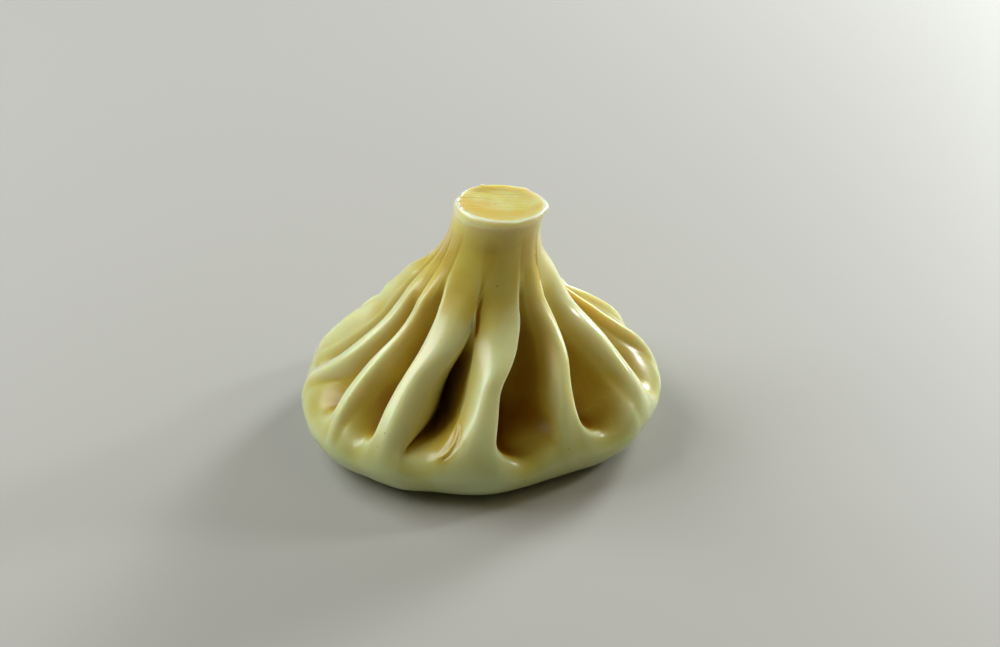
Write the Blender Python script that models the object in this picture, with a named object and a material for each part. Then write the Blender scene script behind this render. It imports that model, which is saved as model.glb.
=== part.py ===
"""Khinkali dumpling: a round of dough gathered into pleats over its filling and pinched into a short stem.

The dumpling is one closed solid. A profile is spun round the vertical axis, and every point of the skin is
then carried to its place in the pleats: on a rib it follows the outer profile, and in the pockets between
the ribs it sinks towards the inner one.
"""

import math
from collections import namedtuple

import bmesh
import bpy

MM = 0.001

# How the skin runs from the table up to the stem's lip: at each level, the radius and the height of a rib,
# then those of the bottom of a pocket, in millimetres.
LEVELS = (
    (27.0, 0.0, 27.0, 0.0),  # edge of the flat foot
    (35.6, 2.0, 35.6, 2.0),  # underside of the base roll
    (39.8, 6.6, 39.3, 6.0),  # belly
    (38.3, 12.0, 36.4, 9.0),  # top of the base roll
    (33.8, 18.2, 27.0, 11.8),
    (27.4, 24.6, 20.4, 19.2),
    (20.4, 30.6, 15.4, 28.0),
    (15.4, 36.6, 12.7, 35.8),
    (12.1, 42.4, 11.1, 42.2),  # neck
    (10.1, 48.0, 9.8, 48.0),
    (9.6, 52.4, 9.5, 52.4),  # just under the lip
)
LEVEL_COLUMNS = list(zip(*LEVELS))
TOP_LEVEL = len(LEVELS) - 1

# The cut end of the stem, from its lip to the middle of its shallow dish: radius and height.
CUT_END = ((10.0, 53.8), (9.6, 54.6), (9.0, 54.4), (7.6, 53.5), (4.0, 52.9), (0.0, 52.7))

# From this height the stem leans, until its top stands off the middle of the base.
STEM_LEAN_FROM = 36.0
STEM_TOP = 54.6
STEM_OFFSET_X = 4.3

# The slope of the cut, and the heights between which the skin takes it up.
CUT_SLOPE_X = -0.05
CUT_SLOPE_Y = -0.04
CUT_SLOPE_HEIGHTS = (42.0, 52.0)

# A pleat's rib has a middle line and a width, both in degrees round the axis, at four stations from its foot
# to the neck. The pocket after it is tucked in by so many degrees under the rib before it, or if negative,
# under the rib after it. It is sunk by depth, a share of the inner profile, less the share lift at its foot.
# Reach and shoulder scale the rib's radius at its foot and half way up.
# Zero degrees faces -Y, and +90 faces +X.
Pleat = namedtuple("Pleat", "line width tuck depth lift reach shoulder")

PLEATS = (
    Pleat((-108, -104, -106, -114), (12, 17, 20, 22), (0, -6, -6, -3), 1.2, 0.5, 1.00, 0.99),
    Pleat((-77, -68, -68, -78), (8, 10, 12, 14), (0, -6, -6, -3), 1.2, 0.7, 0.995, 1.00),
    Pleat((-54, -52, -52, -57), (7, 9, 11, 14), (0, -6, -6, -3), 1.4, 0.6, 1.01, 1.00),
    Pleat((-33, -31, -24, -24), (10, 13, 27, 38), (0, 8, 16, 10), 1.5, 0.45, 0.985, 1.00),
    Pleat((-3, 2, 12, 17), (16, 15, 25, 33), (9, 16, 14, 6), 1.4, 0.15, 0.925, 1.00),
    Pleat((36, 40, 51, 52), (9, 8, 12, 21), (0, 10, 12, 6), 1.2, 0.4, 0.86, 1.00),
    Pleat((74, 76, 85, 90), (8, 9, 17, 30), (3, 6, 6, 3), 1.2, 0.0, 0.97, 1.00),
    Pleat((103, 103, 108, 118), (9, 7, 6, 6), (0, 0, 0, 0), 0.9, 0.0, 1.02, 0.96),
    Pleat((122, 120, 122, 132), (7, 7, 7, 7), (0, 0, 0, 0), 0.9, 0.0, 1.00, 0.92),
    Pleat((148, 145, 143, 148), (9, 9, 12, 14), (0, 0, 0, 0), 1.0, 0.2, 1.00, 0.92),
    Pleat((173, 170, 168, 169), (9, 9, 14, 18), (0, 6, 8, 4), 1.1, 0.4, 1.00, 0.97),
    Pleat((200, 202, 198, 194), (9, 11, 18, 22), (0, 8, 10, 5), 1.2, 0.2, 1.00, 0.98),
    Pleat((228, 230, 227, 221), (9, 9, 12, 16), (0, 0, 0, 0), 1.0, 0.3, 1.00, 0.93),
)

FIRST_STATION = 3.0  # level of a pleat's foot
STATION_STEP = 1.5  # levels from one station to the next

# Levels between which a pleat's tuck comes in and goes out again, its lift ends and its reach ends.
TUCK_IN = (2.0, 3.5)
TUCK_OUT = (7.5, 9.0)
LIFT_OUT = (3.5, 5.5)
REACH_OUT = (3.5, 6.5)
SHOULDER_LEVEL = 6.0
SHOULDER_SPREAD = 1.5  # levels above and below over which the shoulder fades

RIB_SHARE = 0.3  # share of a pleat's columns that lie on its rib
RIB_BULGE = 0.2  # how far a rib's middle stands out, as a share of the pocket's depth
POCKET_SHARPNESS = 1.5  # above 1 the pocket's bottom narrows and the rib's edge softens
TUCK_GAIN = 1.7  # brings the tuck's curve to about its stated angle where it is strongest

COLUMNS_PER_PLEAT = 10
ROWS_PER_LEVEL = 3

DOUGH_COLOUR = (0.80, 0.72, 0.42, 1.0)  # boiled wheat dough, a pale butter yellow
DOUGH_ROUGHNESS = 0.45


def spline(values, x):
    """A smooth curve through evenly spaced values, read at x, which counts in steps from the first value."""
    x = min(max(x, 0.0), len(values) - 1.0)
    i = min(int(x), len(values) - 2)
    before = values[max(i - 1, 0)]
    start = values[i]
    end = values[i + 1]
    after = values[min(i + 2, len(values) - 1)]
    f = x - i
    slope_in = (end - before) / 2
    slope_out = (after - start) / 2
    return (
        start * (1 + 2 * f) * (1 - f) ** 2
        + slope_in * f * (1 - f) ** 2
        + end * f * f * (3 - 2 * f)
        - slope_out * f * f * (1 - f)
    )


def ease(span, x):
    """0 below the span, 1 above it, and a smooth step across it."""
    low, high = span
    f = min(max((x - low) / (high - low), 0.0), 1.0)
    return f * f * (3 - 2 * f)


def station_at(level):
    """A level as a count of stations from a pleat's foot."""
    return (level - FIRST_STATION) / STATION_STEP


def rib_edges(index, level):
    """The angles at which a pleat's rib begins and ends at a level, in degrees."""
    turns, index = divmod(index, len(PLEATS))
    pleat = PLEATS[index]
    middle = spline(pleat.line, station_at(level)) + 360 * turns
    half = spline(pleat.width, station_at(level)) / 2
    return middle - half, middle + half


def pleat_at(turn):
    """The pleat that a share of a full turn falls in, and how far through it."""
    along = turn * len(PLEATS) % len(PLEATS)
    index = min(int(along), len(PLEATS) - 1)
    return index, along - index


def pleat_section(index, share, level):
    """A point of a pleat: its angle in degrees, and how far it is sunk from the rib to the pocket."""
    pleat = PLEATS[index]
    rib_start, rib_end = rib_edges(index, level)
    if share < RIB_SHARE:
        s = share / RIB_SHARE
        return rib_start + (rib_end - rib_start) * s, -RIB_BULGE * math.sin(math.pi * s) ** 2
    s = (share - RIB_SHARE) / (1 - RIB_SHARE)
    next_start, _ = rib_edges(index + 1, level)
    hollow = math.sin(math.pi * s)
    tuck = spline(pleat.tuck, station_at(level)) * ease(TUCK_IN, level) * (1 - ease(TUCK_OUT, level))
    under = TUCK_GAIN * hollow**2 * (1 - s if tuck > 0 else s)
    depth = pleat.depth * (1 - pleat.lift * (1 - ease(LIFT_OUT, level)))
    return rib_end + (next_start - rib_end) * s - tuck * under, depth * hollow**POCKET_SHARPNESS


def spread(reach, shoulder, level):
    """How much a rib's radius is scaled at a level."""
    foot = 1 + (reach - 1) * (1 - ease(REACH_OUT, level))
    middle = 1 + (shoulder - 1) * math.exp(-(((level - SHOULDER_LEVEL) / SHOULDER_SPREAD) ** 2))
    return foot * middle


def folded(turn, level):
    """The place of a skin point: turn is its share of a full turn, level its height up the profile."""
    index, share = pleat_at(turn)
    pleat = PLEATS[index]
    following = PLEATS[(index + 1) % len(PLEATS)]
    angle, sunk = pleat_section(index, share, level)
    rib_radius, rib_height, pocket_radius, pocket_height = (spline(column, level) for column in LEVEL_COLUMNS)
    blend = ease((0, 1), share)
    reach = pleat.reach + (following.reach - pleat.reach) * blend
    shoulder = pleat.shoulder + (following.shoulder - pleat.shoulder) * blend
    radius = (rib_radius + (pocket_radius - rib_radius) * sunk) * spread(reach, shoulder, level)
    height = rib_height + (pocket_height - rib_height) * sunk
    return placed(angle, radius, height)


def placed(angle, radius, height):
    """The point at this angle, radius and height, in metres, with the stem leant and its cut sloped."""
    lean = max(height - STEM_LEAN_FROM, 0) / (STEM_TOP - STEM_LEAN_FROM)
    x = radius * math.sin(math.radians(angle))
    y = -radius * math.cos(math.radians(angle))
    height += ease(CUT_SLOPE_HEIGHTS, height) * (CUT_SLOPE_X * x + CUT_SLOPE_Y * y)
    return ((x + STEM_OFFSET_X * lean) * MM, y * MM, height * MM)


def profile_points():
    """The outline to spin, from the middle of the foot to the middle of the dish: radius, height, level."""
    points = [(0.0, 0.0, -1.0)]
    for row in range(TOP_LEVEL * ROWS_PER_LEVEL + 1):
        level = row / ROWS_PER_LEVEL
        radius, height = (spline(column, level) for column in LEVEL_COLUMNS[:2])
        points.append((radius, height, level))
    for step, (radius, height) in enumerate(CUT_END, 1):
        points.append((radius, height, TOP_LEVEL + step))
    return points


def spun_skin():
    """A closed body of revolution whose points know their level."""
    mesh = bmesh.new()
    level_of = mesh.verts.layers.float.new("level")
    previous = None
    for radius, height, level in profile_points():
        point = mesh.verts.new((0.0, -radius, height))
        point[level_of] = level
        if previous:
            mesh.edges.new((previous, point))
        previous = point
    bmesh.ops.spin(
        mesh,
        geom=mesh.verts[:] + mesh.edges[:],
        cent=(0, 0, 0),
        axis=(0, 0, 1),
        angle=2 * math.pi,
        steps=COLUMNS_PER_PLEAT * len(PLEATS),
        use_merge=True,
    )
    bmesh.ops.remove_doubles(mesh, verts=mesh.verts, dist=1e-4)
    bmesh.ops.recalc_face_normals(mesh, faces=mesh.faces)
    return mesh, level_of


def pleated_dumpling():
    """The dumpling's mesh, with each point of the spun skin carried to its place."""
    mesh, level_of = spun_skin()
    for point in mesh.verts:
        turn = math.atan2(point.co.x, -point.co.y) / (2 * math.pi) % 1.0
        level = point[level_of]
        if level > TOP_LEVEL:
            angle, _ = pleat_section(*pleat_at(turn), TOP_LEVEL)
            point.co = placed(angle, math.hypot(point.co.x, point.co.y), point.co.z)
        elif level >= 0:
            point.co = folded(turn, level)
    return mesh


def stand_over_origin(mesh):
    """Moves the dumpling so that the origin is under the middle of its box."""
    xs = [point.co.x for point in mesh.verts]
    ys = [point.co.y for point in mesh.verts]
    shift = (-(min(xs) + max(xs)) / 2, -(min(ys) + max(ys)) / 2, 0.0)
    bmesh.ops.translate(mesh, verts=mesh.verts, vec=shift)


def dough():
    """Boiled dough, smooth and softly glossy."""
    material = bpy.data.materials.new("dough")
    material.use_nodes = True
    surface = material.node_tree.nodes["Principled BSDF"]
    surface.inputs["Base Color"].default_value = DOUGH_COLOUR
    surface.inputs["Roughness"].default_value = DOUGH_ROUGHNESS
    surface.inputs["Metallic"].default_value = 0.0
    material.diffuse_color = DOUGH_COLOUR
    return material


def main():
    for old in list(bpy.data.objects):
        bpy.data.objects.remove(old)
    mesh = pleated_dumpling()
    stand_over_origin(mesh)
    data = bpy.data.meshes.new("dumpling")
    mesh.to_mesh(data)
    mesh.free()
    data.shade_smooth()
    data.materials.append(dough())
    dumpling = bpy.data.objects.new("dumpling", data)
    bpy.context.scene.collection.objects.link(dumpling)
    print(len(data.vertices), "vertices", sum(len(p.vertices) - 2 for p in data.polygons), "triangles")


if __name__ == "__main__":
    main()
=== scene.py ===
# %% [markdown]
# # A khinkali dumpling
#
# A khinkali is a soup dumpling: a round of wheat dough is gathered round its filling into deep pleats,
# and the gathers are pinched into a short stem, by which it is held and eaten. Boiled, the dough turns
# pale yellow, slightly see-through and softly glossy. Nothing here is straight or regular, so the lesson
# is how to make an uneven, soft shape from few numbers: a turned skin, pleats folded into it, and a
# finish that follows the pleats.
#
# The first cell loads the measured model. It fixes the size and the place of all that follows.

# %% Load the measured model
import math
from collections import namedtuple

import bmesh
import bpy
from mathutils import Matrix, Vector, noise


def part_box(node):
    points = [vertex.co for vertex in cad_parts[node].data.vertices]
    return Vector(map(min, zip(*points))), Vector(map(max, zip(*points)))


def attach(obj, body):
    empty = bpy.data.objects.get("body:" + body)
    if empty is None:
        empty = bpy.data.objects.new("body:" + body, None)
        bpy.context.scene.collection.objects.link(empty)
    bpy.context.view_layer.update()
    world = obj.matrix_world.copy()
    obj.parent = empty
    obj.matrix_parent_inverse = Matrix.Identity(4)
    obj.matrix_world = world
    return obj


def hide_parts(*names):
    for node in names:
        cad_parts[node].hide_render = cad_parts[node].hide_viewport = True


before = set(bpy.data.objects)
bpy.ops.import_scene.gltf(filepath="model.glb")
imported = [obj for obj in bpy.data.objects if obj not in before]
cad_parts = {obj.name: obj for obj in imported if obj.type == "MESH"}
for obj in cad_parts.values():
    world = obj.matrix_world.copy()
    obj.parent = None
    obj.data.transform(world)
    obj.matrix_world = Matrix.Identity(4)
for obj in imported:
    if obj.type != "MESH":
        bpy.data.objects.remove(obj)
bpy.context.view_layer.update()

MM = 0.001
lowest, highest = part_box("dumpling")
print("the dumpling measures", [round(side / MM, 1) for side in highest - lowest], "mm")

# %% [markdown]
# ## Camera
#
# Food is usually looked at from where a diner sits. The camera looks down by 30 degrees through a long
# lens, which keeps the stem and the base in proportion. It could be dragged into place, but stepping it
# back from the point that it looks at keeps its tilt and its distance readable.

# %% Camera
TILT = math.radians(30)
LENS = 85  # mm
SENSOR_WIDTH = 36  # mm
LOOK_AT = Vector((0.00396, 0.0, 0.0241))
CAMERA_DISTANCE = 0.5187

ahead = Vector((0.0, math.cos(TILT), -math.sin(TILT)))
camera_data = bpy.data.cameras.new("camera")
camera_data.lens = LENS
camera_data.sensor_width = SENSOR_WIDTH
camera = bpy.data.objects.new("camera", camera_data)
camera.location = LOOK_AT - ahead * CAMERA_DISTANCE
camera.rotation_euler = ahead.to_track_quat("-Z", "Y").to_euler()
bpy.context.scene.collection.objects.link(camera)
bpy.context.scene.camera = camera
print("camera at", tuple(round(c, 3) for c in camera.location))

# %% [markdown]
# ## Light
#
# Pleats show when light rakes across them. Two broad lamps on the left work like a window and model the
# folds, and two small ones on the right draw the narrow glints that make the dough look wet: a broad lamp
# gives soft shadows, and a small one gives crisp glints. These four are a little cool, while the faint
# fills and the room are warm, so the crests turn pale and the hollows golden. Each lamp is a row of
# numbers, and one helper hangs it, which is easier to balance than six objects placed by hand.

# %% Lamps
COOL = (0.94, 1.0, 1.0)
WARM = (1.0, 0.86, 0.55)
LAMP_DISTANCE = 0.7
LAMP_TARGET = Vector((0.0, 0.0, 0.02))

Lamp = namedtuple("Lamp", "name azimuth elevation size watts colour")
LAMPS = (
    Lamp("left window", -125, 40, 0.35, 2.15, COOL),
    Lamp("left side", -87, 40, 0.35, 2.05, COOL),
    Lamp("right side", 110, 26, 0.1, 1.4, COOL),
    Lamp("right back", 145, 20, 0.18, 3.8, COOL),
    Lamp("front fill", -50, 45, 0.4, 0.3, WARM),
    Lamp("right front", 75, 45, 0.5, 0.65, WARM),
)


def hang(lamp):
    """A square lamp aimed at the dumpling. Azimuth 0 is on the camera's side, and 90 is to its right."""
    azimuth, elevation = math.radians(lamp.azimuth), math.radians(lamp.elevation)
    across = math.cos(elevation)
    outward = Vector((math.sin(azimuth) * across, -math.cos(azimuth) * across, math.sin(elevation)))
    lamp_data = bpy.data.lights.new(lamp.name, "AREA")
    lamp_data.size = lamp.size
    lamp_data.energy = lamp.watts
    lamp_data.color = lamp.colour
    light = bpy.data.objects.new(lamp.name, lamp_data)
    light.location = outward * LAMP_DISTANCE + LAMP_TARGET
    light.rotation_euler = (-outward).to_track_quat("-Z", "Y").to_euler()
    bpy.context.scene.collection.objects.link(light)


for lamp in LAMPS:
    hang(lamp)
print(len(LAMPS), "lamps,", round(sum(lamp.watts for lamp in LAMPS), 1), "watts")

# %% Room
ROOM_STRENGTH = 0.03

world = bpy.data.worlds.new("room")
world.use_nodes = True
world.node_tree.nodes["Background"].inputs["Color"].default_value = (*WARM, 1)
world.node_tree.nodes["Background"].inputs["Strength"].default_value = ROOM_STRENGTH
bpy.context.scene.world = world
bpy.context.scene.view_settings.view_transform = "Standard"
print("warm room of strength", ROOM_STRENGTH)

# %% [markdown]
# ## The turned skin
#
# Under its pleats the dumpling is a body of revolution, as dough gathered round a ball of filling must
# be, so it starts as an outline to spin. Each point of the outline has a level, which counts up from the
# foot and then in over the cut end. The outline is given twice: once for the ribs that stand out, and
# once for the bottoms of the pockets between them. A smooth curve through the levels gives every height
# between them, so the skin can be made as fine as the pleats need.

# %% Levels of the skin
LEVELS = (  # rib radius, rib height, pocket radius, pocket height, in mm
    (27.0, 0.0, 27.0, 0.0),  # edge of the flat foot
    (35.6, 2.0, 35.6, 2.0),  # underside of the base roll
    (39.8, 6.6, 39.3, 6.0),  # belly
    (38.3, 12.0, 36.4, 9.0),  # top of the base roll, where the pleats begin
    (33.8, 18.2, 27.5, 12.4),  # the pockets drop in behind the roll
    (27.4, 24.6, 20.4, 19.2),
    (20.4, 30.6, 15.4, 28.0),  # the ribs draw together
    (15.4, 36.6, 12.7, 35.8),
    (12.1, 42.4, 11.1, 42.2),  # neck
    (10.1, 48.0, 9.8, 48.0),  # stem
    (9.65, 52.0, 9.6, 52.0),  # just under the lip
    (9.7, 53.4, 9.7, 53.4),  # the lip's outer edge
    (9.7, 54.25, 9.7, 54.25),
    (9.35, 54.6, 9.35, 54.6),  # the lip's top
    (8.6, 54.45, 8.6, 54.45),
    (6.4, 53.95, 6.4, 53.95),  # the dish's wall
    (3.0, 53.6, 3.0, 53.6),
    (0.0, 53.5, 0.0, 53.5),  # middle of the dish
)
LEVEL_COLUMNS = list(zip(*LEVELS))
LIP_LEVEL = 10
MIDDLE_LEVEL = len(LEVELS) - 1
print("outline of", len(LEVELS), "levels,", LEVELS[-1][1], "mm high in the middle of the dish")


# %% Two curves that everything uses
def spline(values, x):
    """A smooth curve through evenly spaced values, read at x, counted in steps from the first value."""
    x = min(max(x, 0.0), len(values) - 1.0)
    i = min(int(x), len(values) - 2)
    before = values[max(i - 1, 0)]
    start = values[i]
    end = values[i + 1]
    after = values[min(i + 2, len(values) - 1)]
    f = x - i
    slope_in = (end - before) / 2
    slope_out = (after - start) / 2
    return (
        start * (1 + 2 * f) * (1 - f) ** 2
        + slope_in * f * (1 - f) ** 2
        + end * f * f * (3 - 2 * f)
        - slope_out * f * f * (1 - f)
    )


def ease(span, x):
    """0 below the span, 1 above it, and a smooth step across it."""
    low, high = span
    f = min(max((x - low) / (high - low), 0.0), 1.0)
    return f * f * (3 - 2 * f)


print("rib radius half way up:", round(spline(LEVEL_COLUMNS[0], 5.5), 1), "mm")

# %% [markdown]
# ## The pleats
#
# A cook pinches the pleats one after the other, and no two are alike. They could be sculpted, but a table
# is easier to put right, since one number can be changed while the rest stays. A pleat is a raised rib
# and the pocket after it. Where it is tucked, it overhangs its pocket, which gives the crisp edges and
# the dark hollows.
#
# Angles go round the dumpling in degrees: zero faces the camera, and 90 is to its right. A pleat's angles
# are listed at stations from its foot up to its neck, and the smooth curve fills in between them.

# %% What a pleat is
FIRST_STATION = 3.0  # level of a pleat's foot
STATION_STEP = 1.5  # levels from one station to the next
COMMON_SLOPE = 1.5

# line: where the middle of the rib runs, in degrees, one angle for each station
# width: how wide the rib is there, in degrees
# tuck: degrees that the pocket is carried under its rib, or if negative, under the next rib
# tilt: how far the rib's first edge is sunk below its crest, or if negative, its last edge
# depth: how far the pocket sinks, where 1 reaches the pockets' outline
# lift: the share by which the pocket is shallower at its foot
# reach and shoulder: the rib's radius at its foot and half way up, as a share of the ribs' outline
# flute: the share of the relief that is left where the pleat runs out up the stem
# slope: how the pocket's wall leaves its rib: it drops at once below 1, and eases away above 1
Pleat = namedtuple(
    "Pleat", "line width tuck tilt depth lift reach shoulder flute slope", defaults=(COMMON_SLOPE,)
)
print("a pleat's numbers:", ", ".join(Pleat._fields))

# %% Pleats on the left
LEFT_PLEATS = (
    Pleat(
        line=(-108, -104, -106, -114), width=(12, 17, 20, 22),
        tuck=(0, -6, -6, -3), tilt=(0, -0.2, -0.2, -0.2),
        depth=1.2, lift=0.9, reach=1.00, shoulder=0.99, flute=0.6,
    ),
    Pleat(
        line=(-86, -73, -70, -77), width=(9, 10, 12, 13),
        tuck=(0, -6, -6, -3), tilt=(-0.1, -0.4, -0.6, -0.4),
        depth=0.95, lift=0.6, reach=0.995, shoulder=1.00, flute=0.35,
    ),
    Pleat(
        line=(-54, -54, -51.5, -55), width=(7, 9, 11, 14),
        tuck=(0, -6, -6, -3), tilt=(-0.1, -0.4, -0.6, -0.4),
        depth=1.3, lift=0.8, reach=1.01, shoulder=1.00, flute=0.2,
    ),
)
print(len(LEFT_PLEATS), "pleats on the left")

# %% The two broad pleats in front
FRONT_PLEATS = (
    Pleat(
        line=(-32.8, -30.2, -23, -23.5, -27), width=(10.5, 14.5, 25, 37, 28),
        tuck=(2, 14, 20, 0), tilt=(-0.3, -0.45, -0.3, -0.2),
        depth=1.75, lift=0.8, reach=0.985, shoulder=1.00, flute=0.0, slope=0.75,
    ),
    Pleat(
        line=(-4.8, 0.5, 10.2, 16.3, 20), width=(19.5, 18, 28.5, 34.5, 27),
        tuck=(0, 16, 14, 2), tilt=(0.2, 0.4, 0.5, 0.3),
        depth=1.75, lift=0.5, reach=0.925, shoulder=1.00, flute=0.1, slope=1.75,
    ),
)
print(len(FRONT_PLEATS), "pleats in front")

# %% Pleats on the right
RIGHT_PLEATS = (
    Pleat(
        line=(34.5, 38, 49.5, 52), width=(12, 12, 15, 21),
        tuck=(0, 10, 12, 4), tilt=(0.4, 0.5, 0.5, 0.3),
        depth=1.3, lift=0.55, reach=0.86, shoulder=1.00, flute=0.9,
    ),
    Pleat(
        line=(71.5, 74, 81, 85.5), width=(13, 13, 25, 39),
        tuck=(3, 6, 6, 3), tilt=(0.1, 0.3, 0.5, 0.2),
        depth=1.2, lift=0.55, reach=0.97, shoulder=1.00, flute=0.7,
    ),
    Pleat(
        line=(103, 103, 108, 118), width=(9, 7, 6, 6),
        tuck=(0, 0, 0, 0), tilt=(0.2, 0.2, 0.2, 0.2),
        depth=0.9, lift=0.2, reach=1.02, shoulder=0.96, flute=0.7,
    ),
)
print(len(RIGHT_PLEATS), "pleats on the right")

# %% Pleats at the back
UPRIGHT = (0, 0, 0, 0)

BACK_PLEATS = (
    Pleat(
        line=(122, 120, 122, 132), width=(7, 7, 7, 7), tuck=UPRIGHT, tilt=UPRIGHT,
        depth=0.9, lift=0.2, reach=1.00, shoulder=0.92, flute=0.7,
    ),
    Pleat(
        line=(148, 145, 143, 148), width=(9, 9, 12, 14), tuck=UPRIGHT, tilt=UPRIGHT,
        depth=1.0, lift=0.3, reach=1.00, shoulder=0.92, flute=0.7,
    ),
    Pleat(
        line=(173, 170, 168, 169), width=(9, 9, 14, 18), tuck=(0, 6, 8, 4), tilt=(0.3, 0.4, 0.4, 0.2),
        depth=1.1, lift=0.5, reach=1.00, shoulder=0.97, flute=0.7,
    ),
    Pleat(
        line=(200, 202, 198, 194), width=(9, 11, 18, 22), tuck=(0, 8, 10, 5), tilt=(0.3, 0.4, 0.4, 0.2),
        depth=1.2, lift=0.4, reach=1.00, shoulder=0.98, flute=0.7,
    ),
    Pleat(
        line=(228, 230, 227, 221), width=(9, 9, 12, 16), tuck=UPRIGHT, tilt=UPRIGHT,
        depth=0.7, lift=0.4, reach=1.00, shoulder=0.92, flute=0.7,
    ),
)
PLEATS = LEFT_PLEATS + FRONT_PLEATS + RIGHT_PLEATS + BACK_PLEATS
print(len(PLEATS), "pleats in all")

# %% [markdown]
# ## Pinched ribs
#
# Fingers nip a rib in and let it swell again, so its edges aren't smooth lines. The stations are too far
# apart for this, and more of them would make the table hard to read. A pinch is a small bump on one edge
# of one rib instead: it moves that edge to the right by a few degrees, or to the left where it is
# negative.

# %% Pinches
# edge: 0 for the rib's left one, and 1 for its right one. level and span: where, and how far up and down.
Pinch = namedtuple("Pinch", "rib edge level span degrees")
PINCHES = (
    Pinch(2, 0, 6.9, 0.9, 2.5),
    Pinch(3, 0, 6.95, 0.7, 4.0),
    Pinch(3, 1, 5.25, 0.6, -4.0),
    Pinch(3, 1, 6.5, 0.6, 1.5),
    Pinch(4, 1, 5.25, 0.7, -4.0),
    Pinch(4, 1, 6.7, 0.5, 1.5),
)


def at_station(values, level):
    """A pleat's number at a level, from its list of stations."""
    return spline(values, (level - FIRST_STATION) / STATION_STEP)


def rib_edges(index, level):
    """The angles at which a pleat's rib begins and ends at a level, in degrees."""
    turns, index = divmod(index, len(PLEATS))
    pleat = PLEATS[index]
    middle = at_station(pleat.line, level) + 360 * turns
    half = at_station(pleat.width, level) / 2
    moved = [0.0, 0.0]
    for pinch in PINCHES:
        if pinch.rib == index:
            moved[pinch.edge] += pinch.degrees * math.exp(-(((level - pinch.level) / pinch.span) ** 2))
    return middle - half + moved[0], middle + half + moved[1]


print("the left front rib spans", [round(edge) for edge in rib_edges(3, 5.25)], "degrees at its waist")

# %% [markdown]
# ## Across one pleat
#
# Cut level through the dumpling, and a pleat's section is a rounded rib and a hollow pocket. Both are
# drawn by sines, which meet without a crease. Two numbers say where a point of the section goes: its
# angle, and how far it is sunk from the ribs' outline to the pockets'. A tuck shifts the pocket's angles
# back under the rib, so the wall folds under its own edge. That is the one thing that a displacement map
# can't do, and the reason that the points are moved by a formula.
#
# Nothing of this begins or ends at once: the tuck grows above the base roll and has gone by the stem.

# %% How the relief comes and goes
TUCK_IN = (2.0, 3.5)  # levels, as in the next lines
TUCK_OUT = (7.5, 9.0)
LIFT_OUT = (2.8, 4.8)
REACH_OUT = (3.5, 6.5)
FLUTE_IN = (5.8, 8.4)
SHOULDER_LEVEL = 6.0
SHOULDER_SPAN = 1.5


def overlap(level):
    """The share of a pleat's tuck and tilt at a level."""
    return ease(TUCK_IN, level) * (1 - ease(TUCK_OUT, level))


def fluted(pleat, level):
    """The share of a pleat's relief that is left at a level, as it runs out up the stem."""
    return 1 - (1 - pleat.flute) * ease(FLUTE_IN, level)


def tilted(pleat, level):
    """How far a rib's first and last edges are sunk below its crest at a level."""
    tilt = at_station(pleat.tilt, level) * overlap(level) * fluted(pleat, level)
    return max(tilt, 0), max(-tilt, 0)


def spread(reach, shoulder, level):
    """How much a rib's radius is scaled at a level."""
    foot = 1 + (reach - 1) * (1 - ease(REACH_OUT, level))
    middle = 1 + (shoulder - 1) * math.exp(-(((level - SHOULDER_LEVEL) / SHOULDER_SPAN) ** 2))
    return foot * middle


print("share of the tuck up the dumpling:", [round(overlap(level), 1) for level in range(2, 10)])

# %% Section of a rib
RIB_BULGE = 0.2  # how far a rib's middle stands out, as a share of the pocket's depth


def rib_section(index, s, level):
    """A point s of the way across a rib: its angle in degrees, and how far it is sunk."""
    pleat = PLEATS[index]
    rib_start, rib_end = rib_edges(index, level)
    low_start, low_end = tilted(pleat, level)
    fall = low_start * (1 - math.sin(math.pi / 2 * s)) + low_end * (1 - math.cos(math.pi / 2 * s))
    bulge = RIB_BULGE * (1 - low_start - low_end) * fluted(pleat, level) * math.sin(math.pi * s) ** 2
    return rib_start + (rib_end - rib_start) * s, fall - bulge


print("a rib's crest lies at", [round(number, 2) for number in rib_section(4, 0.5, 5.0)])

# %% Section of a pocket
NARROW = 12.0  # degrees: a pocket between ribs closer than this is shallow
TUCK_GAIN = 1.6  # how far under the rib the wall is carried, for each degree of tuck
TUCK_ROUNDNESS = 1.25
POCKET_SKEW = 0.3  # how far a tuck pulls the deepest point towards the rib
SKEWING_TUCK = 6.0  # degrees: the tuck that pulls it all the way
SUNK_EDGE = 0.4  # an edge sunk this far goes straight over into the pocket's wall


def pocket_section(index, s, level):
    """A point s of the way across the pocket after a rib: its angle in degrees, and how far it is sunk."""
    pleat = PLEATS[index]
    _, rib_end = rib_edges(index, level)
    next_start, _ = rib_edges(index + 1, level)
    _, low_end = tilted(pleat, level)
    low_next, _ = tilted(PLEATS[(index + 1) % len(PLEATS)], level)
    relief = fluted(pleat, level) * ease((0, NARROW), next_start - rib_end)
    tuck = at_station(pleat.tuck, level) * relief * overlap(level)
    under = TUCK_GAIN * math.sin(math.pi * s) ** TUCK_ROUNDNESS * (1 - s if tuck > 0 else s)
    skew = 1 - POCKET_SKEW * min(abs(tuck) / SKEWING_TUCK, 1)
    skewed = s**skew if tuck > 0 else 1 - (1 - s) ** skew
    hollow = math.sin(math.pi * skewed)
    depth = pleat.depth * (1 - pleat.lift * (1 - ease(LIFT_OUT, level))) * relief
    edge = low_end + (low_next - low_end) * s
    slope = pleat.slope + (COMMON_SLOPE - pleat.slope) * s
    sharpness = slope - max(slope - 1, 0) * min(edge / SUNK_EDGE, 1)
    return rib_end + (next_start - rib_end) * s - tuck * under, edge + (depth - edge) * hollow**sharpness


print("the front pocket's bottom lies at", [round(number, 2) for number in pocket_section(4, 0.5, 5.0)])

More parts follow.
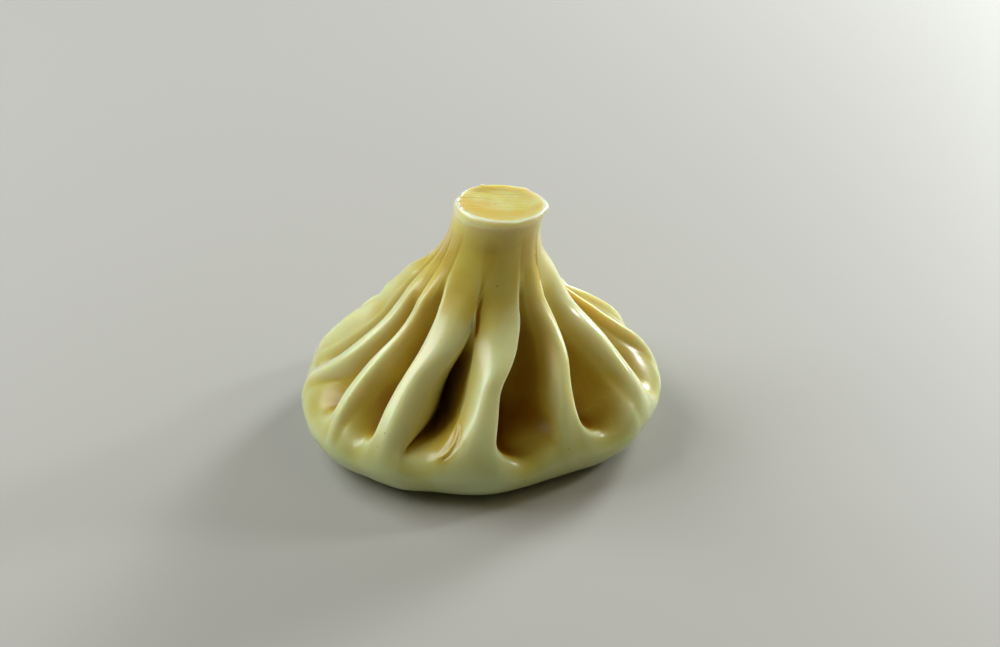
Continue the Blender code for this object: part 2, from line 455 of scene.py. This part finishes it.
# %% [markdown]
# ## The leaning stem
#
# The stem was pinched by fingers, so it has a waist and leans to one side, and the flanks have dents of
# their own. A lattice could bend it, but these are small departures from a round shape, so each is a soft
# bump that moves the skin's points a little outwards or upwards, or the other way where it is negative.

# %% Dents in the flanks and the stem
Dent = namedtuple("Dent", "angle width level span out up")  # degrees, levels and mm

BODY_DENTS = (
    Dent(-95, 60, 8.3, 0.9, -1.0, 0.0),  # the waist, pinched in on the left
    Dent(104, 20, 7.35, 0.55, 1.1, 0.0),  # below the waist on the right, two swellings
    Dent(96, 16, 6.75, 0.5, 1.1, 0.0),
    Dent(-116, 14, 6.75, 0.4, 1.2, 0.0),  # and two on the left
    Dent(-109, 15, 6.05, 0.45, 1.5, 0.0),
    Dent(-122, 30, 5.1, 0.6, -1.4, 0.0),  # the far left flank, hollowed
    Dent(-130, 16, 4.7, 0.9, -2.2, 0.0),
    Dent(122, 16, 5.9, 0.9, -1.1, 0.0),  # the far right flank, hollowed
    Dent(104, 14, 4.7, 0.8, -1.2, 0.0),
    Dent(-106, 14, 4.8, 0.5, 0.7, 0.0),  # a swelling over a dip at the foot of the first left pleat
    Dent(-106, 18, 3.8, 0.6, -0.5, 0.0),
    Dent(8, 22, 6.9, 0.9, -1.1, 0.0),  # the front, pressed in by a thumb below the neck
    Dent(-25, 18, 7.0, 1.0, -0.9, 0.0),
    Dent(8, 18, 5.6, 0.7, 1.2, 0.0),  # and the second front rib, pushed out below that
    Dent(62, 25, 1.6, 1.0, -0.8, 0.0),  # the base roll, flatter at the front right
    Dent(88, 8, 3.4, 0.5, -0.8, 0.0),  # a dip at the foot of the right pleat
)
print(len(BODY_DENTS), "dents in the body")

# %% [markdown]
# ## The cut end
#
# A knife cut off the tip of the stem. The cut is not level, it left a bevel along one side and small
# nicks in the lip, and it dragged fine streaks across the sticky dough, so it is a shallow dish rather
# than a disc. The same kind of dent makes the bevel and the nicks. The streaks are noise that is
# stretched along the knife's way. A boolean cut would be sharper and more even than dough ever is.

# %% Dents in the lip
LIP_DENTS = (
    Dent(-50, 55, 11.0, 0.7, 0.1, -0.8),  # the bevel's lower edge
    Dent(-50, 55, 12.8, 1.0, -0.35, 0.0),  # the bevel's upper edge, a little further in
    Dent(204, 3, 12.5, 1.2, 0.1, 0.35),  # a torn point at the back
    Dent(146, 7, 12.0, 1.5, 0.3, 0.15),  # a low lump beside it
    Dent(249, 6, 12.0, 1.6, -0.5, -0.15),  # a nick on the left
    Dent(267, 6, 12.0, 1.2, 0.15, 0.1),  # the dough that it pushed aside
    Dent(20, 9, 12.5, 1.0, 0.12, -0.15),  # a dip in the front
    Dent(75, 8, 12.0, 1.2, -0.15, 0.12),  # a crumpled corner on the right
    Dent(98, 26, 11.6, 1.3, 0.75, -0.1),  # the lip, pushed out on the right
)
DENTS = BODY_DENTS + LIP_DENTS


def dented(angle, level):
    """How far the dents move a point: outwards and upwards, in mm."""
    out = up = 0.0
    for dent in DENTS:
        aside = (angle - dent.angle + 180) % 360 - 180
        share = math.exp(-((aside / dent.width) ** 2) - ((level - dent.level) / dent.span) ** 2)
        out += dent.out * share
        up += dent.up * share
    return out, up


print("the torn point stands", round(dented(204, 12.5)[1], 2), "mm high")

# %% Knife streaks
STREAK_LEVELS = (12.5, 14.0)
STREAK_DEPTH = 0.18  # mm
STREAK_SHARE = 0.55  # how strong the streaks are on the axis
STREAK_FADE = 0.05  # how much of that is lost for each mm to the right
STREAK_WAVES = ((0.16, 1.7, 5.0), (0.08, 0.6, 9.0))  # waves per mm along X and Y, and a slice of the noise


def streaks(x, y, level):
    """How far the knife's streaks raise the cut at a place, in mm: long along X and fine along Y."""
    strength = STREAK_DEPTH * ease(STREAK_LEVELS, level) * (STREAK_SHARE - STREAK_FADE * x)
    waves = (noise.noise(Vector((along * x, over * y, cut))) for along, over, cut in STREAK_WAVES)
    return strength * sum(waves)


print("streaks at three places:", [round(streaks(x, 1.0, 15.0), 3) for x in (-4, 0, 4)], "mm")

# %% Lean and cut
STEM_LEAN_FROM = 36.0  # mm above the table
STEM_TOP = 54.6
STEM_OFFSET_X = 4.3  # mm that the stem's top is off the middle
CUT_SLOPE_X = -0.05  # mm of height for each mm to the right
CUT_SLOPE_Y = -0.04
CUT_SLOPE_HEIGHTS = (42.0, 52.0)
DISH_OFFSET_Y = 2.0  # mm from the middle of the cut to the deepest point of its dish
DISH_LEVELS = (13.0, 16.0)


def placed(angle, radius, height, level):
    """The point at this angle, radius and height, in metres, with the stem dented, leant and cut."""
    out, up = dented(angle, level)
    radius += out
    lean = max(height - STEM_LEAN_FROM, 0) / (STEM_TOP - STEM_LEAN_FROM)
    x = radius * math.sin(math.radians(angle))
    y = -radius * math.cos(math.radians(angle))
    height += up + ease(CUT_SLOPE_HEIGHTS, height) * (CUT_SLOPE_X * x + CUT_SLOPE_Y * y)
    height += streaks(x, y, level)
    y += DISH_OFFSET_Y * ease(DISH_LEVELS, level)
    return Vector(((x + STEM_OFFSET_X * lean) * MM, y * MM, height * MM))


print("front of the lip at", [round(side / MM, 1) for side in placed(0, 9.7, 53.4, 11)], "mm")

# %% [markdown]
# ## Spin and fold
#
# A Screw modifier could turn the outline into a skin, but `bmesh.ops.spin` gives points that can carry
# numbers at once. Each point carries its level in a layer of its own, so after the spin the fold knows
# where the point belongs, and the finish can read the same layer. Every pleat gets the same number of
# columns of points, whether it is wide or narrow, so narrow pleats are as finely drawn as broad ones.

# %% Spin the outline
COLUMNS_PER_PLEAT = 36
ROWS_PER_LEVEL = 11
POLE_GAP = 1e-4  # mm: points closer than this are one point


def spun_skin():
    """A closed body of revolution, in mm, whose points know their level."""
    mesh = bmesh.new()
    level_of = mesh.verts.layers.float.new("level")
    rows = [(0.0, 0.0, -1.0)]
    for row in range(MIDDLE_LEVEL * ROWS_PER_LEVEL + 1):
        level = row / ROWS_PER_LEVEL
        rows.append((spline(LEVEL_COLUMNS[0], level), spline(LEVEL_COLUMNS[1], level), level))
    previous = None
    for radius, height, level in rows:
        point = mesh.verts.new((0.0, -radius, height))
        point[level_of] = level
        if previous:
            mesh.edges.new((previous, point))
        previous = point
    bmesh.ops.spin(
        mesh,
        geom=mesh.verts[:] + mesh.edges[:],
        cent=(0, 0, 0),
        axis=(0, 0, 1),
        angle=2 * math.pi,
        steps=COLUMNS_PER_PLEAT * len(PLEATS),
        use_merge=True,
    )
    bmesh.ops.remove_doubles(mesh, verts=mesh.verts, dist=POLE_GAP)
    bmesh.ops.recalc_face_normals(mesh, faces=mesh.faces)
    return mesh, level_of


skin, level_of = spun_skin()
print("spun skin:", len(skin.verts), "points")

# %% Where a point of the skin goes
RIB_SHARE = 0.3  # share of a pleat's columns that lie on its rib


def pleat_at(turn):
    """The pleat that a share of a full turn falls in, and how far through it."""
    along = turn * len(PLEATS) % len(PLEATS)
    index = min(int(along), len(PLEATS) - 1)
    return index, along - index


def pleat_section(index, share, level):
    """A point of a pleat: its angle in degrees, and how far it is sunk from the rib to the pocket."""
    if share < RIB_SHARE:
        return rib_section(index, share / RIB_SHARE, level)
    return pocket_section(index, (share - RIB_SHARE) / (1 - RIB_SHARE), level)


def folded(turn, level):
    """The place of a skin point and how far it is sunk: turn is its share of a full turn."""
    index, share = pleat_at(turn)
    pleat = PLEATS[index]
    following = PLEATS[(index + 1) % len(PLEATS)]
    angle, sunk = pleat_section(index, share, min(level, LIP_LEVEL))
    outline = [spline(column, level) for column in LEVEL_COLUMNS]
    rib_radius, rib_height, pocket_radius, pocket_height = outline
    blend = ease((0, 1), share)
    reach = pleat.reach + (following.reach - pleat.reach) * blend
    shoulder = pleat.shoulder + (following.shoulder - pleat.shoulder) * blend
    radius = (rib_radius + (pocket_radius - rib_radius) * sunk) * spread(reach, shoulder, level)
    height = rib_height + (pocket_height - rib_height) * sunk
    return placed(angle, radius, height, level), sunk


print("the first rib begins", [round(side / MM, 1) for side in folded(0.0, 3.0)[0]], "mm from the middle")

# %% Fold it
POCKETS_END = (6.5, 8.5)  # levels over which the finish stops seeing pockets

sunk_of = skin.verts.layers.float.new("sunk")
for point in skin.verts:
    turn = math.atan2(point.co.x, -point.co.y) / (2 * math.pi) % 1.0
    if point[level_of] >= 0:
        point.co, sunk = folded(turn, point[level_of])
        point[sunk_of] = sunk * (1 - ease(POCKETS_END, point[level_of]))
xs = [point.co.x for point in skin.verts]
ys = [point.co.y for point in skin.verts]
shift = Vector((-(min(xs) + max(xs)) / 2, -(min(ys) + max(ys)) / 2, 0.0))
bmesh.ops.translate(skin, verts=skin.verts, vec=shift)
print("folded, moved by", [round(s / MM, 2) for s in shift], "mm")

# %% [markdown]
# ## Uneven dough
#
# Dough that was rolled, pinched and boiled is never quite even. Two sizes of noise push the skin in and
# out along its own normals by a fraction of a millimetre, so that the light wavers over it. A bump map
# would catch the light too, but it leaves the outline smooth, and here the outline should waver as well.

# %% Push the skin in and out
UNEVEN = ((0.16, 8.0), (0.035, 2.4))  # height and size of the bumps, in mm
UNEVEN_FROM = (1.0, 3.0)  # mm above the table


def uneven(place):
    """How far the dough stands out at a place; both are in mm."""
    push = sum(height * noise.noise(place / size) for height, size in UNEVEN)
    return push * ease(UNEVEN_FROM, place.z)


skin.normal_update()
for point in skin.verts:
    point.co += point.normal * uneven(point.co / MM) * MM
print("bumps of up to", sum(height for height, _ in UNEVEN), "mm")

# %% [markdown]
# ## A fingernail's mark
#
# One fingernail mark crosses the floor of the front left pocket: a thin curved ridge with a groove beside
# it. It is finer than the skin's faces, so the faces near it are subdivided first, and the points close
# to its curve are then raised, and those beside it sunk.

# %% Curve of the mark
NAIL_PATH = ((-8.3, 12.2), (-7.1, 13.1), (-5.8, 14.6), (-5.0, 16.1), (-4.8, 16.9))  # x and z, in mm
NAIL_STEPS = 40
NAIL_REACH = 1.6  # mm round the curve that get finer faces

nail_line = [
    Vector([spline(column, len(NAIL_PATH[1:]) * step / NAIL_STEPS) for column in zip(*NAIL_PATH)])
    for step in range(NAIL_STEPS + 1)
]


def from_nail(place):
    """Distance from the nail's curve as seen from the front, in mm."""
    return min((place - on_line).length for on_line in nail_line)


def near_nail(point):
    """Whether a point is on the front and near the nail's curve."""
    return point.co.y < 0 and from_nail(point.co.xz / MM) < NAIL_REACH


print("nail mark from", nail_line[0][:], "to", nail_line[-1][:])

# %% Press the mark in
NAIL_WIDTH = 0.19  # mm
NAIL_RISE = 0.24
GROOVE_ASIDE = Vector((0.42, -0.36))
GROOVE_DEPTH = 0.1
NAIL_CUTS = 3

marked = [face for face in skin.faces if all(near_nail(point) for point in face.verts)]
edges = list(dict.fromkeys(edge for face in marked for edge in face.edges))  # each once, in a fixed order
bmesh.ops.subdivide_edges(skin, edges=edges, cuts=NAIL_CUTS, use_grid_fill=True, smooth=0.0)
skin.normal_update()
for point in skin.verts:
    if near_nail(point):
        place = point.co.xz / MM
        ridge = NAIL_RISE * math.exp(-((from_nail(place) / NAIL_WIDTH) ** 2))
        groove = GROOVE_DEPTH * math.exp(-((from_nail(place - GROOVE_ASIDE) / NAIL_WIDTH) ** 2))
        point.co += point.normal * (ridge - groove) * MM
print("nail mark over", len(marked), "faces; the skin now has", len(skin.faces))

# %% [markdown]
# ## Where the dough stands proud
#
# The finish needs to know ridges from hollows. A ridge is dough folded double, so it is thick, pale and a
# little dry, and a hollow is thin and wet, so the filling shows through; the finish also uses this to
# paint shade into the hollows and a highlight onto the ridges. A Geometry node's pointiness can only tell
# the sharpest edges. So a copy of the skin is smoothed until its ridges have sunk and its hollows have
# filled. How far each point lies outside that smoothed copy, along its normal, says how proud it stands.

# %% Measure ridges and hollows
SMOOTHINGS = 70
SMOOTH_FACTOR = 0.5

smoothed = skin.copy()
for _ in range(SMOOTHINGS):
    bmesh.ops.smooth_vert(
        smoothed,
        verts=smoothed.verts,
        factor=SMOOTH_FACTOR,
        use_axis_x=True,
        use_axis_y=True,
        use_axis_z=True,
    )
skin.normal_update()
proud_of = skin.verts.layers.float.new("proud")
for point, levelled in zip(skin.verts, smoothed.verts):
    point[proud_of] = (point.co - levelled.co).dot(point.normal) / MM
smoothed.free()
heights = sorted(point[proud_of] for point in skin.verts)
spread_out = [round(heights[int(len(heights) * part)], 2) for part in (0.02, 0.2, 0.5, 0.8, 0.98)]
print("proud by", spread_out, "mm")

# %% [markdown]
# ## The finished skin
#
# The points have been in metres since the fold, and in their own places, so the object needs no move
# and no scale. Smooth shading hides the faces: the skin has no hard edge, and even the lip is round when
# seen close.

# %% Dumpling object
dough_mesh = bpy.data.meshes.new("pleated dough")
skin.to_mesh(dough_mesh)
skin.free()
dough_mesh.shade_smooth()
dumpling = bpy.data.objects.new("pleated_dough", dough_mesh)
bpy.context.scene.collection.objects.link(dumpling)
print("the dumpling has", len(dough_mesh.polygons), "faces and the layers level, sunk and proud")

# %% [markdown]
# ## Writing a shader as sums
#
# A finish is easier to read as a line of arithmetic than as a tangle of wires. A small class wraps one
# output of a node, and adding, subtracting or multiplying two of them adds the Math node that does it. A
# second class holds a material, with one method for every other kind of node.

# %% Shader arithmetic
def plug(socket, value):
    """Links a wire to a socket, or sets the socket to a plain value."""
    if isinstance(value, Wire):
        socket.id_data.links.new(value.socket, socket)
    else:
        socket.default_value = value


class Wire:
    """A node's output that can be used in sums, such as 1 - mask."""

    def __init__(self, socket):
        self.socket = socket

    def join(self, operation, first, second):
        math_node = self.socket.id_data.nodes.new("ShaderNodeMath")
        math_node.operation = operation
        plug(math_node.inputs[0], first)
        plug(math_node.inputs[1], second)
        return Wire(math_node.outputs[0])

    def __add__(self, other):
        return self.join("ADD", self, other)

    def __radd__(self, other):
        return self.join("ADD", other, self)

    def __sub__(self, other):
        return self.join("SUBTRACT", self, other)

    def __rsub__(self, other):
        return self.join("SUBTRACT", other, self)

    def __mul__(self, other):
        return self.join("MULTIPLY", self, other)

    def __rmul__(self, other):
        return self.join("MULTIPLY", other, self)


# %% A finish
class Finish:
    """A material with a Principled BSDF, and one method that adds any other node."""

    def __init__(self, name):
        self.material = bpy.data.materials.new(name)
        self.material.use_nodes = True
        self.tree = self.material.node_tree
        self.surface = self.tree.nodes["Principled BSDF"]

    def node(self, kind, settings=None, inputs=None, output=0):
        """A new node with its settings made first, then its sockets. Returns the wire from one output."""
        made = self.tree.nodes.new(kind)
        for name, value in (settings or {}).items():
            if name == "stops":
                stops = made.color_ramp.elements
                while len(stops) < len(value):
                    stops.new(1.0)
                for stop, (place, colour) in zip(stops, value):
                    stop.position, stop.color = place, colour
            else:
                setattr(made, name, value)
        for name, value in (inputs or {}).items():
            plug(made.inputs[name], value)
        return Wire(made.outputs[output])

    def layer(self, name):
        """The number that every point of the mesh carries in a layer."""
        return self.node("ShaderNodeAttribute", {"attribute_name": name}, output="Fac")

    def noise(self, place, scale, detail):
        """A soft random pattern between 0 and 1, with scale waves to the metre."""
        return self.node("ShaderNodeTexNoise", inputs={"Vector": place, "Scale": scale, "Detail": detail})

    def ease(self, span, value):
        """0 where the value is below the span, 1 where it is above it, and a smooth step across it."""
        sockets = {"Value": value, "From Min": span[0], "From Max": span[1]}
        return self.node("ShaderNodeMapRange", {"interpolation_type": "SMOOTHSTEP"}, sockets)

    def mix(self, share, first, second, way="MIX"):
        """Two colours mixed: all first at 0, and all second at 1, or their product if the way is MULTIPLY.

        A Mix node has sockets of the same names for numbers and for colours, so these go by their places.
        """
        sockets = {0: share, 6: first, 7: second}
        return self.node("ShaderNodeMix", {"data_type": "RGBA", "blend_type": way}, sockets, output=2)

    def set(self, **sockets):
        """Sets or links the surface's sockets; an underscore stands for the space in a socket's name."""
        for name, value in sockets.items():
            plug(self.surface.inputs[name.replace("_", " ")], value)


dough = Finish("boiled dough")
place = dough.node("ShaderNodeTexCoord", output="Object")
level_here = dough.layer("level")
sunk_here = dough.layer("sunk")
proud_here = dough.layer("proud")
print("finish", dough.material.name, "reads three layers of the skin")

# %% [markdown]
# ## Colour of boiled dough, with painted shade and highlights
#
# Thick dough scatters light back and looks pale, and thin dough lets the filling and the broth show
# through. So the colour runs from hollow to crest along a ramp of four colours, and the ramp also paints
# shade into the hollows and a highlight along the crests. On the stem the folds have run out: there the
# wall is even, and it pales towards the lip, partly where the dough is thickest and partly as a painted
# highlight on the lit rim. Some mottling keeps any colour from being flat. An image painted on the skin
# could show all this, but it would have to be painted again after each change to a pleat, and a ramp
# that reads the skin's layers follows by itself.

# %% From hollow to crest
HOLLOW_AND_SHADE = (0.46, 0.24, 0.01, 1.0)  # where the filling shows through, darkened further as painted shade
BUTTER = (0.74, 0.61, 0.12, 1.0)  # flanks of the folds
PALE = (0.80, 0.78, 0.37, 1.0)  # most of the skin
CREAM_AND_HIGHLIGHT = (0.84, 0.89, 0.50, 1.0)  # crests, paled further as a painted highlight
DOUGH_AND_SHADE_STOPS = ((0.0, HOLLOW_AND_SHADE), (0.27, BUTTER), (0.58, PALE), (1.0, CREAM_AND_HIGHLIGHT))
FOLDS_END = (9.0, 10.2)  # levels, as in the next lines
LIP_PALES = (9.0, 11.6)
DISH_BEGINS = (13.2, 15.0)
DISH_MOTTLES = (13.5, 15.0)
LIP_SHARE, DISH_SHARE = 0.75, 0.6
MIDDLING = 0.35  # mm: how proud a flank counts as standing
CONTRAST = 0.645  # how much of the ramp one mm takes
MOTTLE_SCALE, MOTTLE_DETAIL = 160.0, 3.0
SKIN_MOTTLE, DISH_MOTTLE = 0.12, 0.5

# The ramp paints shade into the hollows and a highlight onto the crests, over the dough's own tone.
folds = proud_here * (1 - dough.ease(FOLDS_END, level_here))
# The lip pales partly where its dough is thickest and partly as a painted highlight on the lit rim.
lip = dough.ease(LIP_PALES, level_here) - dough.ease(DISH_BEGINS, level_here) * DISH_SHARE
mottle = dough.noise(place, MOTTLE_SCALE, MOTTLE_DETAIL)
mottling = (mottle - 0.5) * (SKIN_MOTTLE + dough.ease(DISH_MOTTLES, level_here) * DISH_MOTTLE)
thickness_and_shade = (folds + lip * LIP_SHARE + MIDDLING) * CONTRAST + mottling
colour = dough.node("ShaderNodeValToRGB", {"stops": DOUGH_AND_SHADE_STOPS}, {"Fac": thickness_and_shade}, output="Color")
print("ramp of", len(DOUGH_AND_SHADE_STOPS), "colours")

# %% [markdown]
# ## Golden pockets and the base roll, with painted shade
#
# The pockets hold broth after boiling and are tinted more golden than the ribs between them, and they are
# darkened as painted shade too, most of all in their deepest parts. The base roll is darkened and cooled
# as painted shade under the dumpling. Both are laid over the colour like glazes, by multiplying, which
# darkens and tints, and keeps what is under them.

# %% Glazes
GOLDEN_AND_SHADE = (0.83, 0.72, 0.46, 1.0)  # every pocket: broth tint and painted shade
SOAKED_AND_SHADE = (0.80, 0.76, 0.70, 1.0)  # painted shade in the deepest parts of the pockets, with some broth tint
ROLL_SHADE = (0.68, 0.79, 0.80, 1.0)  # painted shade on the base roll, darker and cooler
GOLDEN_AND_SHADE_DEPTH = (0.0, 0.5)  # how far sunk, as in the next line
SOAKED_AND_SHADE_DEPTH = (0.4, 1.3)
ABOVE_ROLL = (2.4, 3.8)  # levels, as in the next line
ROLL_END = (1.5, 4.3)

above = dough.ease(ABOVE_ROLL, level_here)
colour = dough.mix(dough.ease(GOLDEN_AND_SHADE_DEPTH, sunk_here) * above, colour, GOLDEN_AND_SHADE, "MULTIPLY")
colour = dough.mix(dough.ease(SOAKED_AND_SHADE_DEPTH, sunk_here) * above, colour, SOAKED_AND_SHADE, "MULTIPLY")
colour = dough.mix(1 - dough.ease(ROLL_END, level_here), colour, ROLL_SHADE, "MULTIPLY")
print("glazes in linear colour:", GOLDEN_AND_SHADE[:3], SOAKED_AND_SHADE[:3], ROLL_SHADE[:3])

# %% [markdown]
# ## Specks and the cut end
#
# Flour leaves a few tiny brown specks of bran. A Voronoi texture scatters points evenly, so a second
# pattern decides where they may show. The knife laid open the inside of the stem: it is moister and more
# golden than the skin, in patches. Its rim is pale where it dried, and is paled further as a painted
# highlight along the edge.

# %% Specks
SPECK = (0.45, 0.36, 0.25, 1.0)
SPECK_SCALE = 300.0
SPECK_EDGE = (0.05, 0.1)  # in cells
SPECK_PATCHES = (0.55, 0.62)  # heights of the noise
SPECK_SHARE = 0.6

scatter = {"Vector": place, "Scale": SPECK_SCALE}
grains = dough.node("ShaderNodeTexVoronoi", inputs=scatter, output="Distance")
specks = (1 - dough.ease(SPECK_EDGE, grains)) * dough.ease(SPECK_PATCHES, mottle)
colour = dough.mix(specks * SPECK_SHARE, colour, SPECK, "MULTIPLY")
print("one speck at most in each", round(1 / SPECK_SCALE / MM, 1), "mm")

# %% Cut end and its rim
YOLK = (0.78, 0.54, 0.12, 1.0)  # the moist inside
DRY_RIM_AND_HIGHLIGHT = (0.92, 1.0, 0.84, 1.0)  # the rim: pale where the cut dried, and a painted highlight along it
CUT_BEGINS = (13.3, 14.2)  # levels
CUT_PATCHES = (0.42, 0.62)  # heights of the noise
PATCH_SCALE, PATCH_DETAIL = 90.0, 2.0
CUT_SHARE = 0.7
RIM_BEGINS = (11.9, 12.5)  # levels
RIM_ENDS = (13.1, 13.7)
RIM_SHARE = 0.8

patches = dough.ease(CUT_PATCHES, dough.noise(place, PATCH_SCALE, PATCH_DETAIL))
colour = dough.mix(dough.ease(CUT_BEGINS, level_here) * patches * CUT_SHARE, colour, YOLK)
rim = dough.ease(RIM_BEGINS, level_here) * (1 - dough.ease(RIM_ENDS, level_here))
colour = dough.mix(rim * RIM_SHARE, colour, DRY_RIM_AND_HIGHLIGHT)
print("the cut spans levels", CUT_BEGINS[0], "to", MIDDLE_LEVEL)

# %% [markdown]
# ## Light in the dough and water on it
#
# Boiled dough is translucent: light enters, scatters and comes out nearby, which softens the shadows
# between the pleats. Subsurface scattering does this, and red travels furthest in dough, green less and
# blue least. Over it lies a film of cooking water, which is a coat. Down in the folds the coat is weaker,
# because no lamp reaches straight in there. A very fine bump gives the film a grain, so that its glints
# aren't like glass.

# %% Shine and grain
SCATTER_REACH = 0.003  # metres
SCATTER_COLOURS = (1.0, 0.6, 0.25)
FILM = 0.85
FILM_LOST = 0.6  # how much of it the folds lose
FILM_DEPTH = (0.15, 0.6)  # how far sunk
GRAIN_SCALE, GRAIN_DETAIL = 900.0, 2.0
GRAIN_STRENGTH, GRAIN_HEIGHT = 0.25, 0.0002

film = FILM - dough.ease(FILM_DEPTH, sunk_here) * FILM_LOST
grain = dough.noise(place, GRAIN_SCALE, GRAIN_DETAIL)
bump = dough.node(
    "ShaderNodeBump", inputs={"Strength": GRAIN_STRENGTH, "Distance": GRAIN_HEIGHT, "Height": grain}
)
dough.set(Base_Color=colour, Roughness=0.34, Specular_IOR_Level=0.2, Normal=bump)
dough.set(Subsurface_Weight=1.0, Subsurface_Scale=SCATTER_REACH, Subsurface_Radius=SCATTER_COLOURS)
dough.set(Coat_Weight=film, Coat_Roughness=0.23)
dough_mesh.materials.append(dough.material)
print("boiled dough has", len(dough.tree.nodes), "nodes")

# %% [markdown]
# ## The table
#
# The dumpling needs something to lie on, or it would hang in the air. The table is a plain, pale and
# rather matt plane: it takes the soft shadow and draws no attention. It lies a hair under the foot, so
# that the two faces don't fight for the same place. It is only a stage, and isn't a piece of the
# dumpling.

# %% Table
TABLE_SIZE = 6
TABLE_DROP = 0.0002
TABLE_COLOUR = (0.47932, 0.462077, 0.439657, 1.0)

bpy.ops.mesh.primitive_plane_add(size=TABLE_SIZE, location=(0, 0, -TABLE_DROP))
table = bpy.context.object
table.name = "table"
top = Finish("pale table")
top.set(Base_Color=TABLE_COLOUR, Roughness=0.6)
table.data.materials.append(top.material)
print("table", TABLE_SIZE, "m wide")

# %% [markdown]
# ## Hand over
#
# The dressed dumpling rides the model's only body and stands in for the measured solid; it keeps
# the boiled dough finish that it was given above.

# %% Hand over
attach(dumpling, "root")
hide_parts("dumpling")
